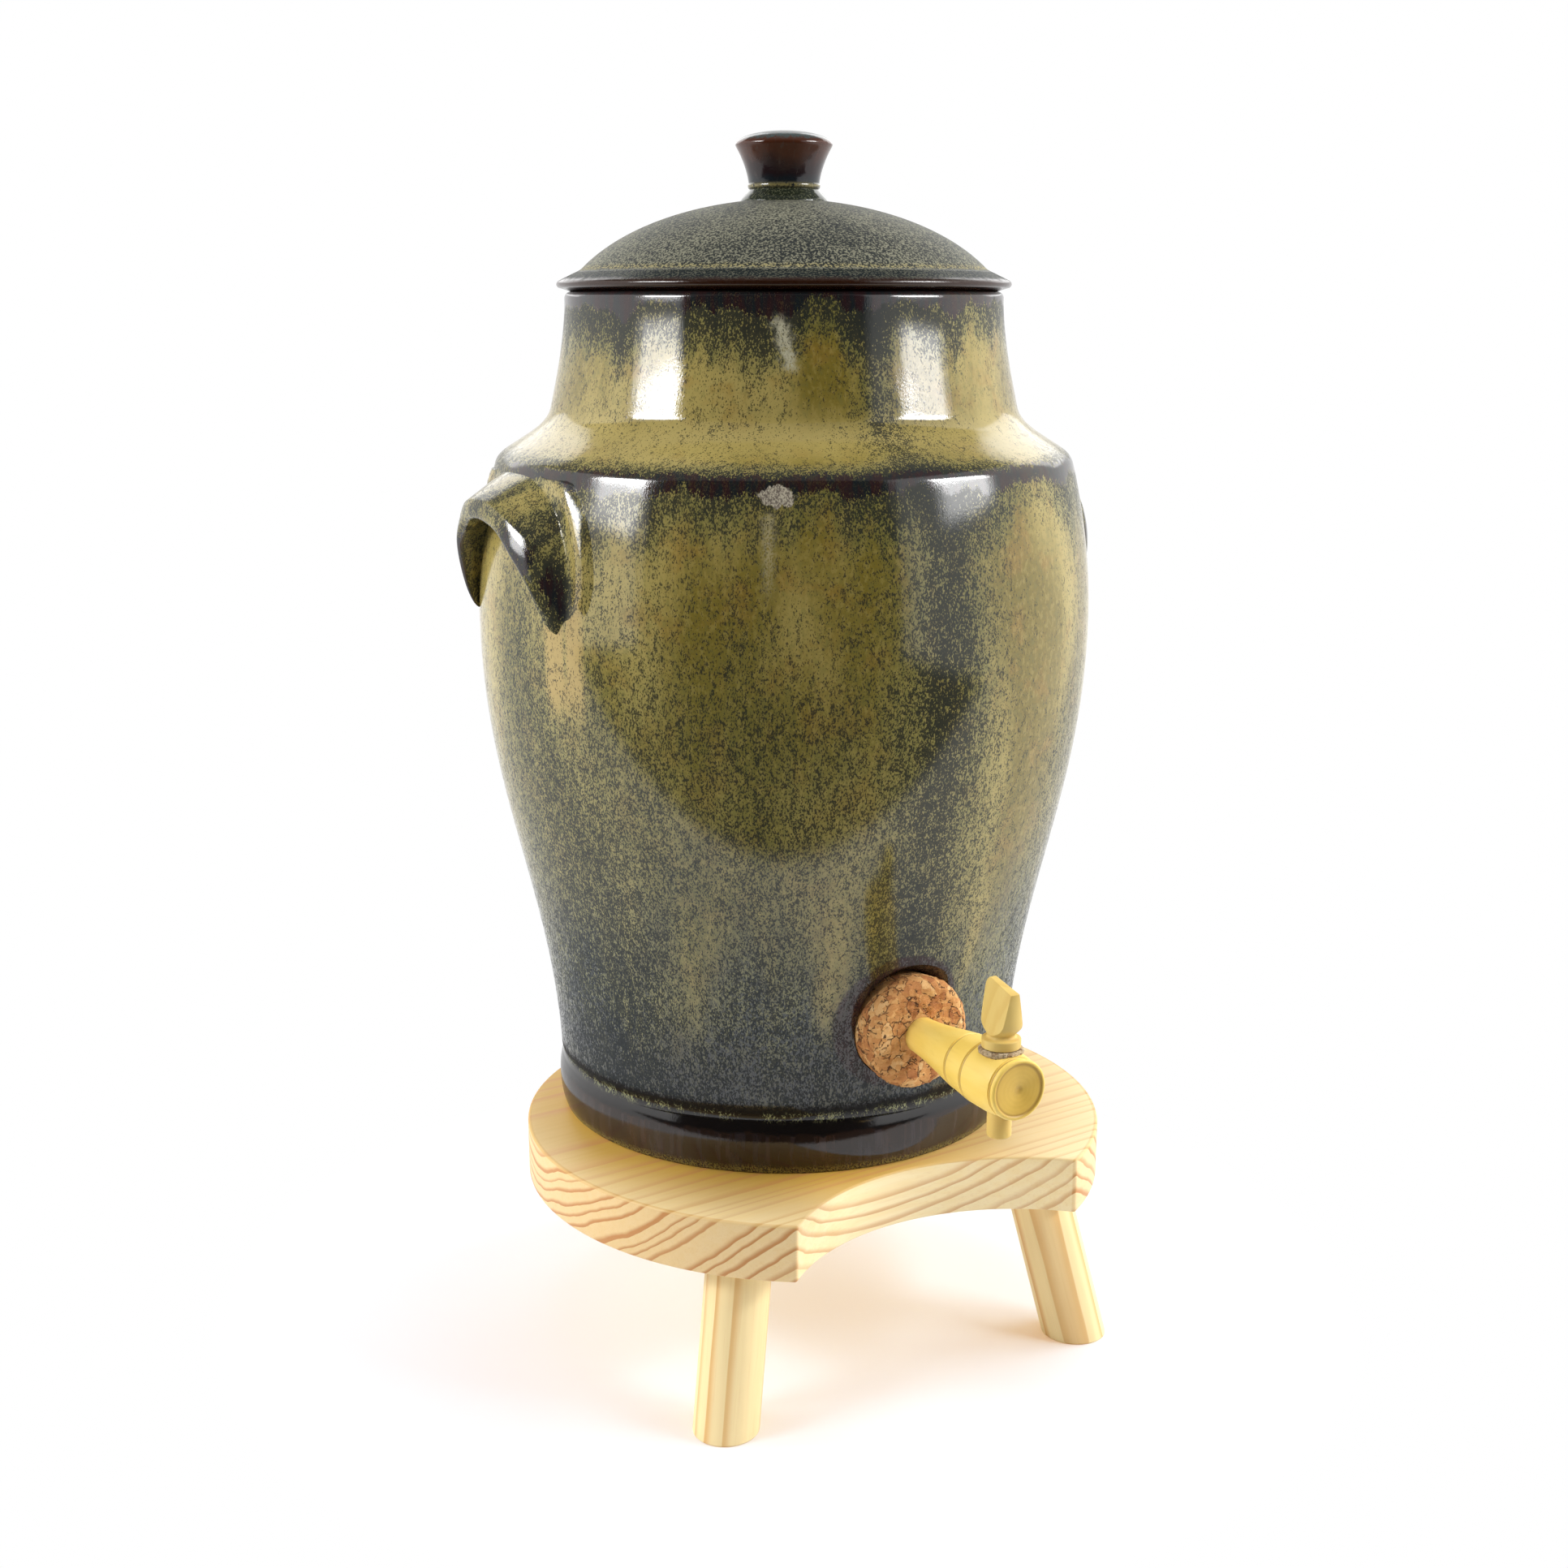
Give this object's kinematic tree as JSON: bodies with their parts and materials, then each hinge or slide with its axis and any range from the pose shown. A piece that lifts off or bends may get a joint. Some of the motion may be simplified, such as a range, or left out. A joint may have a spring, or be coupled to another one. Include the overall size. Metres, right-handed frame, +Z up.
{
  "type": "vinegar crock",
  "caption": "Stoneware crock with lug handles and a domed, knobbed lid, drained by a wooden tap in a cork, on a low legged stool whose seat is hollowed below the tap.",
  "frame": {"origin": "on the floor, at the middle of the whole object's footprint box", "axes": "+Z up; the tap points along -Y; the handles point along -X and +X"},
  "size_m": [0.2132, 0.2388, 0.3873],
  "materials": {
    "crock_glaze": "glossy olive and ochre glaze with fine dark speckles and runs",
    "lid_glaze": "satin grey-green speckled glaze with a brown edge",
    "knob_glaze": "glossy dark red-brown glaze with olive rims",
    "cork": "bare agglomerated cork",
    "tap_wood": "satin turned hardwood with burnt ring lines",
    "key_wood": "satin pale hardwood",
    "pine": "clear satin varnish over pale pine"
  },
  "bodies": {
    "stool": {"stool_seat": "pine", "front_left_leg": "pine", "front_right_leg": "pine", "back_leg": "pine"},
    "crock": {"crock_body": "crock_glaze", "left_handle": "crock_glaze", "right_handle": "crock_glaze", "cork_bung": "cork", "tap_barrel": "tap_wood", "key_sleeve": "cork"},
    "lid": {"lid": "lid_glaze", "lid_knob": "knob_glaze"},
    "key": {"tap_key": "key_wood"}
  },
  "joints": [
    {"name": "crock_lift", "type": "slide", "parent": "stool", "child": "crock", "axis": [0, 0, 1], "range_m": [0, 0.08]},
    {"name": "lid_lift", "type": "slide", "parent": "crock", "child": "lid", "axis": [0, 0, 1], "range_m": [0, 0.08]},
    {"name": "key_turn", "type": "hinge", "parent": "crock", "child": "key", "pos_m": [0, -0.10982, 0.1175], "axis": [0, 0, 1], "continuous": true}
  ]
}
